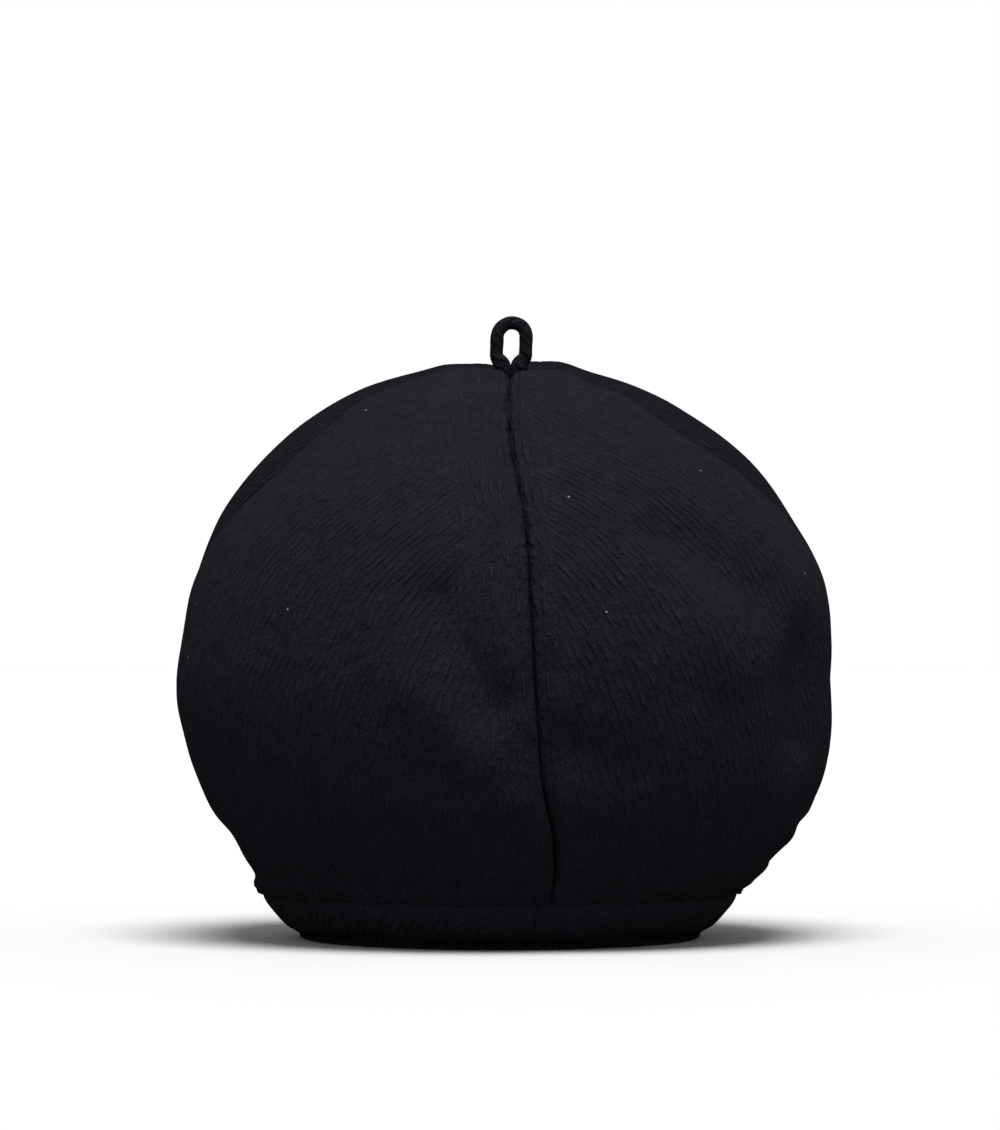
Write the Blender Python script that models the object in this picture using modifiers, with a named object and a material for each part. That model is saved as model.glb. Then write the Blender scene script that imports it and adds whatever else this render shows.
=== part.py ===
"""Baker boy cap in black wool: a puffed crown of four panels, a cloth loop on top, a narrow band and a short peak.

Metres, +Z up. The back of the cap faces -Y and the peak points to +Y. The hem of the band stands on Z = 0.
Azimuths are degrees in plan, 0 at the back and 90 at the wearer's right (+X). A level is 0 where the crown is
sewn to the band and 1 at its neck, where the loop comes out.
"""

from collections import namedtuple
import math

import bmesh
import bpy
from mathutils import Vector
import numpy as np

# Band: an oval strip that fits a head of about 56 cm
BAND_WIDTH = 0.1680
BAND_LENGTH = 0.1970
BAND_HEIGHT = 0.0228
BAND_FLARE = 0.0155
BAND_WALL = 0.0030
BAND_SEAM_AZIMUTH = 8.5

# Crown: the full cloth above the band
CROWN_WIDTH = 0.2720
CROWN_LENGTH = 0.2800
WIDEST_HEIGHT = 0.1080
CROWN_HEIGHT = 0.2355
CROWN_WALL = 0.0020
CROWN_TILT = 6.5
CROWN_LEAN = 0.0042
CROWN_OFFSET = -0.0008
ROLL_SIZE = 0.0030
PUFF = 0.0050
SEAM_GROOVE = 0.0026
SEAM_SOFTNESS = 0.0050
TUCK_BACK_WIDTH = 0.0045
TUCK_FRONT_WIDTH = 0.0180

# Loop: a sewn cord of the same cloth, standing out of the neck
LOOP_HEIGHT = 0.0280
LOOP_WIDTH = 0.0178
LOOP_CORD = 0.0058
LOOP_CLOSED = 0.0030
LOOP_LEAN = 0.0010
LOOP_ROOT = 0.0040
NECK_EASE = 0.0016
NECK_DIP = 0.0030

# Peak: short, and level enough for the cap to stand on a table
PEAK_LENGTH = 0.0480
PEAK_END = 0.0040
PEAK_THICKNESS = 0.0030
PEAK_HALF_ANGLE = 58.0
PEAK_SWEEP = 0.45
PEAK_ARCH = 0.0045
FRONT_LIFT = 0.0090
LIFT_HALF_ANGLE = 110.0

# Pieces that are sewn together stand this far apart
GAP = 0.0003

# How finely each piece is divided
PANEL_COLUMNS = 18
ROLL_DIVISIONS = 4
WALL_DIVISIONS = 22
BAND_COLUMNS = 84
PEAK_COLUMNS = 24
PEAK_ROWS = 6
LOOP_POINTS = 34

# The band's outer face: height as a share of BAND_HEIGHT, outward as a share of BAND_FLARE
BandRow = namedtuple("BandRow", "height outward")
BAND_TABLE = (
    BandRow(0.00, 0.00),
    BandRow(0.07, 0.00),
    BandRow(0.22, 0.34),
    BandRow(0.45, 0.67),
    BandRow(0.72, 0.96),
    BandRow(1.00, 1.00),
)

# The crown's rolled lower edge: both columns are shares of ROLL_SIZE, from the band's outer face and the seam
RollRow = namedtuple("RollRow", "outward up")
ROLL_TABLE = (
    RollRow(0.00, 0.10),
    RollRow(0.30, -0.50),
    RollRow(0.72, -0.60),
    RollRow(1.00, 0.10),
)

# The crown from the roll up to its widest. Rise is a share of that height. The four sides are shares of the way
# from the roll out to the full width or length. Puff is a share of PUFF, and drift turns the back seam, in degrees.
Section = namedtuple("Section", "rise left right back front puff drift")
BELLY_TABLE = (
    Section(0.07, 0.01, 0.23, 0.16, 0.16, 0.3, 11.7),
    Section(0.17, 0.18, 0.44, 0.36, 0.36, 0.5, 11.0),
    Section(0.27, 0.37, 0.68, 0.54, 0.54, 0.6, 10.1),
    Section(0.40, 0.56, 0.82, 0.74, 0.74, 0.7, 8.5),
    Section(0.57, 0.76, 0.97, 0.88, 0.88, 0.8, 6.9),
    Section(0.77, 0.93, 1.03, 0.97, 0.97, 0.9, 6.2),
    Section(1.00, 0.99, 1.02, 1.00, 1.00, 1.0, 5.6),
)

# The crown from its widest to the flat of its top. The four sides are shares of the way from the neck out.
DOME_TABLE = (
    Section(0.13, 0.98, 1.01, 0.99, 0.99, 1.0, 5.1),
    Section(0.33, 0.95, 0.98, 0.94, 0.95, 1.0, 4.5),
    Section(0.53, 0.86, 0.87, 0.85, 0.86, 1.0, 4.2),
    Section(0.70, 0.73, 0.73, 0.72, 0.73, 0.9, 2.9),
    Section(0.84, 0.58, 0.54, 0.55, 0.56, 0.7, 1.1),
    Section(0.94, 0.42, 0.38, 0.39, 0.40, 0.5, 0.3),
    Section(1.00, 0.18, 0.17, 0.18, 0.18, 0.3, 0.2),
)

# The side seams wander on their way up: degrees added to each one's azimuth. Beside them the front panel is tucked
# in below the back one's edge, by shares of CROWN_WIDTH.
SideRow = namedtuple("SideRow", "level right left right_tuck left_tuck")
SIDE_TABLE = (
    SideRow(0.00, 0.0, 0.0, 0.000, 0.000),
    SideRow(0.36, 0.0, 0.0, 0.000, 0.000),
    SideRow(0.47, 0.0, 2.0, 0.006, 0.004),
    SideRow(0.55, -2.0, 9.0, 0.010, 0.014),
    SideRow(0.63, -10.0, 17.0, 0.015, 0.022),
    SideRow(0.72, -19.0, 18.0, 0.015, 0.022),
    SideRow(0.82, -18.0, 12.0, 0.008, 0.012),
    SideRow(1.00, -16.0, 8.0, 0.000, 0.000),
)

# Seams between the panels: azimuth, how much of the drift each one takes, and the column that it wanders by
Seam = namedtuple("Seam", "azimuth swing side")
SEAMS = {
    "back": Seam(0.0, 1.0, None),
    "right": Seam(87.0, 0.0, "right"),
    "front": Seam(180.0, 0.0, None),
    "left": Seam(271.0, 0.0, "left"),
}

# Soft folds: where each starts and ends, its half width and its height as shares of CROWN_WIDTH. Dents are negative.
Fold = namedtuple("Fold", "azimuth_a level_a azimuth_b level_b half_width height")
FOLDS = (
    Fold(-12.0, 0.45, -2.0, 0.31, 0.040, -0.016),
    Fold(-15.0, 0.33, 1.0, 0.17, 0.038, 0.008),
    Fold(-24.0, 0.93, -44.0, 0.92, 0.050, 0.011),
    Fold(24.0, 0.93, 44.0, 0.92, 0.050, 0.010),
    Fold(33.0, 0.54, 50.0, 0.45, 0.054, -0.020),
    Fold(60.0, 0.36, 60.0, 0.26, 0.058, -0.022),
    Fold(35.0, 0.41, 40.0, 0.35, 0.048, 0.009),
    Fold(11.0, 0.25, 20.0, 0.22, 0.042, -0.009),
    Fold(-96.0, 0.10, -68.0, 0.11, 0.030, -0.009),
    Fold(72.0, 0.12, 100.0, 0.12, 0.018, -0.008),
    Fold(76.0, 0.07, 98.0, 0.06, 0.014, -0.008),
    Fold(-150.0, 0.93, -120.0, 0.93, 0.045, 0.009),
    Fold(140.0, 0.93, 160.0, 0.92, 0.050, 0.013),
    Fold(150.0, 0.55, 168.0, 0.36, 0.045, -0.010),
    Fold(-160.0, 0.50, -145.0, 0.30, 0.050, -0.010),
    Fold(-118.0, 0.62, -110.0, 0.40, 0.045, -0.010),
)

BLACK_WOOL = (0.010, 0.009, 0.013, 1.0)
WOOL_ROUGHNESS = 0.9

# Sizes that follow from the ones above
SEAM_HEIGHT = BAND_HEIGHT - CROWN_WALL - GAP
NECK_HALF_WIDTH = LOOP_CORD + NECK_EASE
NECK_HALF_DEPTH = LOOP_CORD / 2 + NECK_EASE
BACK_REACH = CROWN_LENGTH / 2 + PUFF
CENTRE_Y = (BACK_REACH - max(BACK_REACH, BAND_LENGTH / 2 + PEAK_LENGTH)) / 2
SIDES = ("left", "right", "back", "front")


def column(table, name):
    return np.array([getattr(row, name) for row in table], float)


def smooth_through(knots, values, at):
    """The values at some levels, on a smooth curve through the knots."""
    slopes = np.gradient(values, knots)
    index = np.clip(np.searchsorted(knots, at) - 1, 0, len(knots) - 2)
    step = knots[index + 1] - knots[index]
    s = (at - knots[index]) / step
    start = (1 + 2 * s) * (1 - s) ** 2 * values[index] + s * (1 - s) ** 2 * step * slopes[index]
    end = s * s * (3 - 2 * s) * values[index + 1] + s * s * (s - 1) * step * slopes[index + 1]
    return start + end


def band_lift(azimuth):
    """How far the peak raises the band at this azimuth, nothing round the back of the cap."""
    from_front = np.abs((azimuth % 360.0) - 180.0)
    share = np.clip(from_front / LIFT_HALF_ANGLE, 0.0, 1.0)
    return FRONT_LIFT * 0.5 * (1.0 + np.cos(math.pi * share))


def band_flare(height):
    """How far out the band's outer face stands at a height above its hem."""
    knots = column(BAND_TABLE, "height")
    return BAND_FLARE * smooth_through(knots, column(BAND_TABLE, "outward"), height / BAND_HEIGHT)


def around(azimuth, left, right, back, front):
    """Offsets in plan on an oval with a half axis of its own on each side."""
    turn = np.radians(azimuth)
    half_width = np.where(np.sin(turn) < 0, left, right)
    half_length = np.where(np.cos(turn) < 0, front, back)
    return half_width * np.sin(turn), -half_length * np.cos(turn)


def crown_columns():
    """The crown's sections from the seam to the neck: their levels, and a value for each in every column."""
    seam_out = float(band_flare(np.array(SEAM_HEIGHT))) + GAP
    roll_out = seam_out + ROLL_TABLE[-1].outward * ROLL_SIZE
    roll_up = ROLL_TABLE[-1].up * ROLL_SIZE
    base = {"left": BAND_WIDTH / 2, "right": BAND_WIDTH / 2, "back": BAND_LENGTH / 2, "front": BAND_LENGTH / 2}
    full = {"left": CROWN_WIDTH / 2, "right": CROWN_WIDTH / 2, "back": CROWN_LENGTH / 2, "front": CROWN_LENGTH / 2}
    neck = {"left": NECK_HALF_WIDTH, "right": NECK_HALF_WIDTH, "back": NECK_HALF_DEPTH, "front": NECK_HALF_DEPTH}
    found = {}
    for side in SIDES:
        roll = base[side] + seam_out + ROLL_SIZE * column(ROLL_TABLE, "outward")
        belly = base[side] + roll_out + (full[side] - base[side] - roll_out) * column(BELLY_TABLE, side)
        dome = neck[side] + (full[side] - neck[side]) * column(DOME_TABLE, side)
        found[side] = np.concatenate([roll, belly, dome, [neck[side]]])
    belly_rise = column(BELLY_TABLE, "rise")
    belly_start = SEAM_HEIGHT + roll_up
    roll_z = SEAM_HEIGHT + ROLL_SIZE * column(ROLL_TABLE, "up")
    belly_z = belly_start + belly_rise * (WIDEST_HEIGHT - belly_start)
    dome_z = WIDEST_HEIGHT + column(DOME_TABLE, "rise") * (CROWN_HEIGHT - WIDEST_HEIGHT)
    found["height"] = np.concatenate([roll_z, belly_z, dome_z, [CROWN_HEIGHT - NECK_DIP]])
    still = np.zeros(len(DOME_TABLE) + 1)
    found["lift"] = np.concatenate([np.ones(len(ROLL_TABLE)), 1.0 - belly_rise, still])
    roll_puff = np.linspace(0.0, BELLY_TABLE[0].puff, len(ROLL_TABLE) + 1)[:-1]
    found["puff"] = np.concatenate([roll_puff, column(BELLY_TABLE, "puff"), column(DOME_TABLE, "puff"), [0.0]])
    roll_drift = np.full(len(ROLL_TABLE), BELLY_TABLE[0].drift)
    found["drift"] = np.concatenate([roll_drift, column(BELLY_TABLE, "drift"), column(DOME_TABLE, "drift"), [0.0]])
    reach = sum(found[side] for side in SIDES) / len(SIDES)
    steps = np.hypot(np.diff(reach), np.diff(found["height"]))
    found["mean_reach"] = reach
    length = steps.sum()
    found["level"] = np.concatenate([[0.0], np.cumsum(steps)]) / length
    return found, length


CROWN, MERIDIAN_LENGTH = crown_columns()
ROLL_LEVEL = CROWN["level"][len(ROLL_TABLE) - 1]


def crown_value(name, level):
    return smooth_through(CROWN["level"], CROWN[name], level)


def seam_azimuth(seam, level):
    azimuth = seam.azimuth + seam.swing * crown_value("drift", level)
    if seam.side:
        azimuth += smooth_through(column(SIDE_TABLE, "level"), column(SIDE_TABLE, seam.side), level)
    return azimuth


def tuck_depth(azimuth, level):
    """How far the cloth is tucked in beside the side seams, steeply on the back panels and gently on the front ones."""
    total = np.zeros(np.shape(azimuth))
    for seam in (SEAMS["right"], SEAMS["left"]):
        depth = smooth_through(column(SIDE_TABLE, "level"), column(SIDE_TABLE, seam.side + "_tuck"), level)
        turn = (azimuth - seam_azimuth(seam, level) + 180.0) % 360.0 - 180.0
        distance = np.radians(turn) * crown_value("mean_reach", level)
        in_front = (turn > 0) == (seam.azimuth < 180.0)
        width = np.where(in_front, TUCK_FRONT_WIDTH, TUCK_BACK_WIDTH)
        total += depth * CROWN_WIDTH * np.exp(-((distance / width) ** 2))
    return total


def fold_height(azimuth, level):
    """How far the soft folds raise the cloth, or sink it where that is negative."""
    total = np.zeros(np.shape(azimuth))
    for fold in FOLDS:
        middle = (fold.level_a + fold.level_b) / 2
        run = Vector((
            math.radians(fold.azimuth_b - fold.azimuth_a) * float(crown_value("mean_reach", middle)),
            (fold.level_b - fold.level_a) * MERIDIAN_LENGTH,
        ))
        sideways = np.radians((azimuth - fold.azimuth_a + 180.0) % 360.0 - 180.0) * crown_value("mean_reach", level)
        upward = (level - fold.level_a) * MERIDIAN_LENGTH
        share = np.clip((sideways * run.x + upward * run.y) / run.length_squared, 0.0, 1.0)
        distance = np.hypot(sideways - share * run.x, upward - share * run.y)
        total += fold.height * CROWN_WIDTH * np.exp(-((distance / (fold.half_width * CROWN_WIDTH)) ** 2))
    return total


def crown_surface(azimuth, level, across, panel_width):
    """Points on the crown's outer face. Across is 0 and 1 at the panel's two seams, and panel_width is between them."""
    left, right, back, front = (crown_value(side, level) for side in SIDES)
    x, y = around(azimuth, left, right, back, front)
    rise = np.clip((level - ROLL_LEVEL) / (1.0 - ROLL_LEVEL), 0.0, 1.0)
    z = crown_value("height", level) + crown_value("lift", level) * band_lift(azimuth)
    z = z + y * math.tan(math.radians(CROWN_TILT)) * rise * rise * (3 - 2 * rise)
    x = x + CROWN_OFFSET + CROWN_LEAN * rise
    y = y + CENTRE_Y
    bulge = PUFF * crown_value("puff", level) * (1.0 - np.abs(2 * across - 1) ** 2.4)
    to_seam = np.minimum(across, 1 - across) * panel_width
    shallow = np.clip(crown_value("mean_reach", level) / (WIDEST_HEIGHT / 3), 0.0, 1.0) * np.clip(rise * 20, 0, 1)
    bulge = bulge - SEAM_GROOVE * shallow * np.exp(-to_seam / SEAM_SOFTNESS)
    bulge = bulge - tuck_depth(azimuth, level) * shallow
    bulge = bulge + fold_height(azimuth, level) * np.clip(rise * 20, 0, 1)
    points = np.stack([x, y, z], axis=-1)
    outward = points - np.array([CROWN_OFFSET, CENTRE_Y, WIDEST_HEIGHT])
    outward /= np.linalg.norm(outward, axis=-1, keepdims=True)
    return points + outward * bulge[..., None]


def wool(name):
    material = bpy.data.materials.new(name + "_wool")
    material.use_nodes = True
    shader = material.node_tree.nodes["Principled BSDF"]
    shader.inputs["Base Color"].default_value = BLACK_WOOL
    shader.inputs["Roughness"].default_value = WOOL_ROUGHNESS
    shader.inputs["Metallic"].default_value = 0.0
    material.diffuse_color = BLACK_WOOL
    return material


def add_object(name, data, collection):
    made = bpy.data.objects.new(name, data)
    data.materials.append(wool(name))
    collection.objects.link(made)
    return made


def formed_grid(name, columns, rows, surface):
    """A grid of cloth laid on a surface, a function of the shares across and up."""
    mesh = bpy.data.meshes.new(name)
    grid = bmesh.new()
    bmesh.ops.create_grid(grid, x_segments=columns, y_segments=rows, size=0.5)
    across = np.array([vertex.co.x for vertex in grid.verts]) + 0.5
    up = np.array([vertex.co.y for vertex in grid.verts]) + 0.5
    for vertex, point in zip(grid.verts, surface(across, up)):
        vertex.co = point
    grid.to_mesh(mesh)
    grid.free()
    mesh.shade_smooth()
    return mesh


def give_wall(made, thickness, offset):
    wall = made.modifiers.new("wall", "SOLIDIFY")
    wall.thickness = thickness
    wall.offset = offset
    wall.use_even_offset = True
    wall.use_quality_normals = True
    return wall


def crown_panel(name, first, second, turns, collection):
    """One panel of the crown, between two seams. Turns is 360 where the second seam is past the back."""

    def surface(across, up):
        roll_share = ROLL_DIVISIONS / (ROLL_DIVISIONS + WALL_DIVISIONS)
        level = np.where(
            up < roll_share,
            up / roll_share * ROLL_LEVEL,
            ROLL_LEVEL + (up - roll_share) / (1 - roll_share) * (1 - ROLL_LEVEL),
        )
        start = seam_azimuth(first, level)
        end = seam_azimuth(second, level) + turns
        width = np.radians(end - start) * crown_value("mean_reach", level)
        crowded = 0.5 - 0.5 * np.cos(math.pi * across)
        inset = GAP / 2 / width
        share = inset + (1 - 2 * inset) * crowded
        return crown_surface(start + (end - start) * share, level, share, width)

    mesh = formed_grid(name, PANEL_COLUMNS, ROLL_DIVISIONS + WALL_DIVISIONS, surface)
    give_wall(add_object(name, mesh, collection), CROWN_WALL, -1.0)


def band(collection):
    """The strip round the head, its two ends meeting in the seam at the back."""
    reach = (BAND_WIDTH / 2, BAND_WIDTH / 2, BAND_LENGTH / 2, BAND_LENGTH / 2)
    end_gap = math.degrees(GAP / BAND_WIDTH)

    def surface(across, up):
        azimuth = BAND_SEAM_AZIMUTH + end_gap + (360.0 - 2 * end_gap) * across
        height = np.interp(up, np.linspace(0, 1, len(BAND_TABLE)), column(BAND_TABLE, "height")) * BAND_HEIGHT
        flare = band_flare(height)
        x, y = around(azimuth, *(side + flare for side in reach))
        return np.stack([x + CROWN_OFFSET, y + CENTRE_Y, height + band_lift(azimuth)], axis=-1)

    made = add_object("band", formed_grid("band", BAND_COLUMNS, len(BAND_TABLE) - 1, surface), collection)
    give_wall(made, BAND_WALL, -1.0)


def peak(collection):
    """The short peak: its inner edge lies under the band, and its outer edge touches the table."""
    inner_width = BAND_WIDTH / 2 - BAND_WALL
    inner_length = BAND_LENGTH / 2 - BAND_WALL
    seat = PEAK_THICKNESS + 2 * GAP

    def surface(across, out):
        side = 2 * across - 1
        azimuth = 180.0 + PEAK_HALF_ANGLE * side
        x, y = around(azimuth, inner_width, inner_width, inner_length, inner_length)
        length = BAND_WALL + PEAK_END + (PEAK_LENGTH - PEAK_END) * (1 - np.abs(side) ** 2.4) ** 0.8
        heading = np.radians(180.0 + PEAK_HALF_ANGLE * side * PEAK_SWEEP)
        x = x + np.sin(heading) * length * out
        y = y - np.cos(heading) * length * out
        z = (band_lift(azimuth) - seat) * (1 - out) + PEAK_ARCH * (1 - side * side) * out
        return np.stack([x + CROWN_OFFSET, y + CENTRE_Y, z], axis=-1)

    made = add_object("peak", formed_grid("peak", PEAK_COLUMNS, PEAK_ROWS, surface), collection)
    give_wall(made, PEAK_THICKNESS, -1.0)


def loop_path():
    """Points of the loop's middle line, up one leg, round the top and down the other, from the neck's middle."""
    closed = (LOOP_CORD + GAP) / 2
    wide = (LOOP_WIDTH - LOOP_CORD) / 2
    shoulder = LOOP_HEIGHT - LOOP_CORD / 2 - wide
    legs = LOOP_POINTS // 3
    heights = np.linspace(-LOOP_ROOT, shoulder, legs)
    open_share = np.clip((heights - LOOP_CLOSED) / (shoulder - LOOP_CLOSED), 0.0, 1.0)
    half = closed + (wide - closed) * np.sin(open_share * math.pi / 2)
    up = list(zip(half, heights))
    turn = np.linspace(0.0, math.pi, LOOP_POINTS - 2 * legs + 2)[1:-1]
    arc = list(zip(wide * np.cos(turn), shoulder + wide * np.sin(turn)))
    down = [(-x, z) for x, z in reversed(up)]
    return [(x + LOOP_LEAN * max(z, 0.0) / LOOP_HEIGHT, z) for x, z in up + arc + down]


def top_loop(collection):
    path = loop_path()
    curve = bpy.data.curves.new("top_loop", "CURVE")
    curve.dimensions = "3D"
    curve.bevel_depth = LOOP_CORD / 2
    curve.bevel_resolution = 3
    curve.use_fill_caps = True
    spline = curve.splines.new("POLY")
    spline.points.add(len(path) - 1)
    for point, (x, z) in zip(spline.points, path):
        point.co = (x, 0.0, z, 1.0)
    made = add_object("top_loop", curve, collection)
    made.location = (CROWN_OFFSET + CROWN_LEAN, CENTRE_Y, CROWN_HEIGHT - NECK_DIP)


def main():
    for old in list(bpy.data.objects):
        bpy.data.objects.remove(old)
    collection = bpy.data.collections.new("baker_boy_cap")
    bpy.context.scene.collection.children.link(collection)
    crown_panel("crown_back_right", SEAMS["back"], SEAMS["right"], 0.0, collection)
    crown_panel("crown_front_right", SEAMS["right"], SEAMS["front"], 0.0, collection)
    crown_panel("crown_front_left", SEAMS["front"], SEAMS["left"], 0.0, collection)
    crown_panel("crown_back_left", SEAMS["left"], SEAMS["back"], 360.0, collection)
    band(collection)
    peak(collection)
    top_loop(collection)


if __name__ == "__main__":
    main()
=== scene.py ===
"""A black wool baker boy cap, sewn from panels in mesh code and stood on a pale floor.

The back of the cap faces the camera, towards -Y, and its peak points to +Y. Azimuths are degrees in
plan, 0 at the back and 90 at the wearer's right. A level is 0 where the crown is sewn to the band and
1 at its neck, where the loop comes out.
"""

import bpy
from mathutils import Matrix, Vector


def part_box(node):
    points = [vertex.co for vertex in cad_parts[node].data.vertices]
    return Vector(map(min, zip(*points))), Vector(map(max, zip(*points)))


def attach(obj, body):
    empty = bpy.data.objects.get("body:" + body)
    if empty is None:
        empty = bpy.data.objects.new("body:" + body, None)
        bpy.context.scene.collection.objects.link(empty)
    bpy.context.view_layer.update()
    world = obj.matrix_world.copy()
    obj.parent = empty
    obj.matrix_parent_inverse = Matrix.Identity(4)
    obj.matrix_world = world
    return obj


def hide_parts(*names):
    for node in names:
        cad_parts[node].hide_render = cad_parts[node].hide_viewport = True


bl_info = {
    "name": "Baker Boy Cap",
    "version": (1, 0, 0),
    "blender": (4, 5, 0),
    "location": "View3D > Sidebar > Baker Boy Cap",
    "description": "Sews a black wool baker boy cap and lights it on a pale floor",
    "category": "Add Mesh",
}

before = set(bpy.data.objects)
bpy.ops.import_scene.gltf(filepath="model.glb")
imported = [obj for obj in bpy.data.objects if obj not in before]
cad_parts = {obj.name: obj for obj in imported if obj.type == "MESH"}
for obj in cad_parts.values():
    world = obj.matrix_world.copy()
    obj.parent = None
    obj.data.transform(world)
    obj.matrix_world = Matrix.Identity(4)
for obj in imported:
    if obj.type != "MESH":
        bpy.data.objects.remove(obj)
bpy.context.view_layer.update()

from collections import namedtuple
import math

import bmesh
import bpy
from bpy.props import FloatProperty, FloatVectorProperty, IntProperty, PointerProperty
from mathutils import Vector, noise
import numpy as np

MM = 0.001
BAND_LOW, BAND_HIGH = (np.array(corner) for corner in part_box("band"))
CENTRE_X, CENTRE_Y = (BAND_LOW[:2] + BAND_HIGH[:2]) / 2
SIDES = ("left", "right", "back", "front")

# Room left between two pieces that are sewn together
CLEARANCE = 0.3 * MM
# The band's ripples are read from noise on a ring of this radius
RIPPLE_RING = 0.09
# Where each kind of ripple is read in the noise
PUCKER_SEED = 3.1
GATHER_SEED = 8.7
SLACK_SEED = 1.3
FINE_SLACK_SEED = 5.9
BAND_SEED = 2.2
CORD_SEED = 6.1
# How square a panel's bulge is from seam to seam, and the peak's outline from side to side
BULGE_POWER = 2.4
PEAK_POWER = 2.4
PEAK_ROUNDNESS = 0.8
# Folds, tucks and grooves set in over this share of the way from the roll to the neck
SET_IN = 1 / 20
# Tucks and grooves fade near the neck, inside this share of the height of the widest section
NECK_FADE = 1 / 3
# The turned edges at the neck keep this share of their depth
LEAST_PINCH = 0.4
# How strongly the columns of a panel and of the band crowd towards their seams
PANEL_CROWDING = 0.65
BAND_CROWDING = 0.9
# The cord's own seam spans this much of its turn each way, in radians
CORD_SEAM_TURN = 0.22

# The band's outer face: height as a share of the band's height, outward as a share of its flare
BandRow = namedtuple("BandRow", "height outward")
BAND_TABLE = (
    BandRow(0.00, 0.00),
    BandRow(0.07, 0.00),
    BandRow(0.22, 0.34),
    BandRow(0.45, 0.67),
    BandRow(0.72, 0.96),
    BandRow(1.00, 1.00),
)

# The crown's rolled lower edge: shares of the roll's size, from the band's outer face and from the seam
RollRow = namedtuple("RollRow", "outward up")
ROLL_TABLE = (
    RollRow(0.00, 0.10),
    RollRow(0.30, -0.50),
    RollRow(0.72, -0.60),
    RollRow(1.00, 0.10),
)

# The crown from the roll up to its widest. Rise is a share of that height. The four sides are shares of
# the way from the roll out to the full width or length. Puff is a share of the panels' full bulge. Drift
# turns the back seam, in degrees.
Section = namedtuple("Section", "rise left right back front puff drift")
BELLY_TABLE = (
    Section(0.07, 0.01, 0.23, 0.16, 0.16, 0.3, 11.7),
    Section(0.17, 0.18, 0.44, 0.36, 0.36, 0.5, 11.0),
    Section(0.27, 0.37, 0.68, 0.54, 0.54, 0.6, 10.1),
    Section(0.40, 0.56, 0.82, 0.74, 0.74, 0.7, 8.5),
    Section(0.57, 0.76, 0.97, 0.88, 0.88, 0.8, 6.9),
    Section(0.77, 0.93, 1.03, 0.97, 0.97, 0.9, 6.2),
    Section(1.00, 0.99, 1.02, 1.00, 1.00, 1.0, 5.6),
)

# The crown from its widest to the flat of its top. The four sides are shares of the way from the neck
# out to the full width or length.
DOME_TABLE = (
    Section(0.13, 0.98, 1.01, 0.99, 0.99, 1.0, 5.1),
    Section(0.33, 0.95, 0.98, 0.94, 0.95, 1.0, 4.5),
    Section(0.53, 0.86, 0.87, 0.85, 0.86, 1.0, 4.2),
    Section(0.70, 0.73, 0.73, 0.72, 0.73, 0.9, 2.9),
    Section(0.84, 0.58, 0.54, 0.55, 0.56, 0.7, 1.1),
    Section(0.94, 0.42, 0.38, 0.39, 0.40, 0.5, 0.3),
    Section(1.00, 0.18, 0.17, 0.18, 0.18, 0.3, 0.2),
)

# The side seams wander on their way up: degrees added to each one's azimuth. Beside them the cloth is
# tucked in, by shares of the crown's width.
SideRow = namedtuple("SideRow", "level right left right_tuck left_tuck")
SIDE_TABLE = (
    SideRow(0.00, 0.0, 0.0, 0.000, 0.000),
    SideRow(0.36, 0.0, 0.0, 0.000, 0.000),
    SideRow(0.47, 0.0, 2.0, 0.006, 0.004),
    SideRow(0.55, -2.0, 9.0, 0.010, 0.014),
    SideRow(0.63, -10.0, 17.0, 0.015, 0.022),
    SideRow(0.72, -19.0, 18.0, 0.015, 0.022),
    SideRow(0.82, -18.0, 12.0, 0.008, 0.012),
    SideRow(1.00, -16.0, 8.0, 0.000, 0.000),
)

# Seams between the panels: azimuth, how much of the drift each one takes, and the column that it wanders by
Seam = namedtuple("Seam", "azimuth swing side")
SEAMS = {
    "back": Seam(0.0, 1.0, None),
    "right": Seam(87.0, 0.0, "right"),
    "front": Seam(180.0, 0.0, None),
    "left": Seam(271.0, 0.0, "left"),
}

# The four panels: the CAD node, the two seams and the turn added to the second, in degrees. Rib_lean is
# how far the ribs of the cloth lean from the panel's middle line, in degrees. Seam_grain is how wide a
# strip beside the centre seam has its ribs along the seam, in metres. Depth scales the cloth's colour; the
# front panels' 0.70 is painted shade over the whole front half, for the shade on the strips beyond the side
# seams.
CrownPanel = namedtuple("CrownPanel", "node first second turn rib_lean seam_grain depth")
PANELS = (
    CrownPanel("crown_back_right", "back", "right", 0.0, -19.0, 0.010, 1.0),
    CrownPanel("crown_front_right", "right", "front", 0.0, 19.0, 0.020, 0.70),
    CrownPanel("crown_front_left", "front", "left", 0.0, -19.0, 0.020, 0.70),
    CrownPanel("crown_back_left", "left", "back", 360.0, 17.0, 0.028, 1.0),
)

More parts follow.
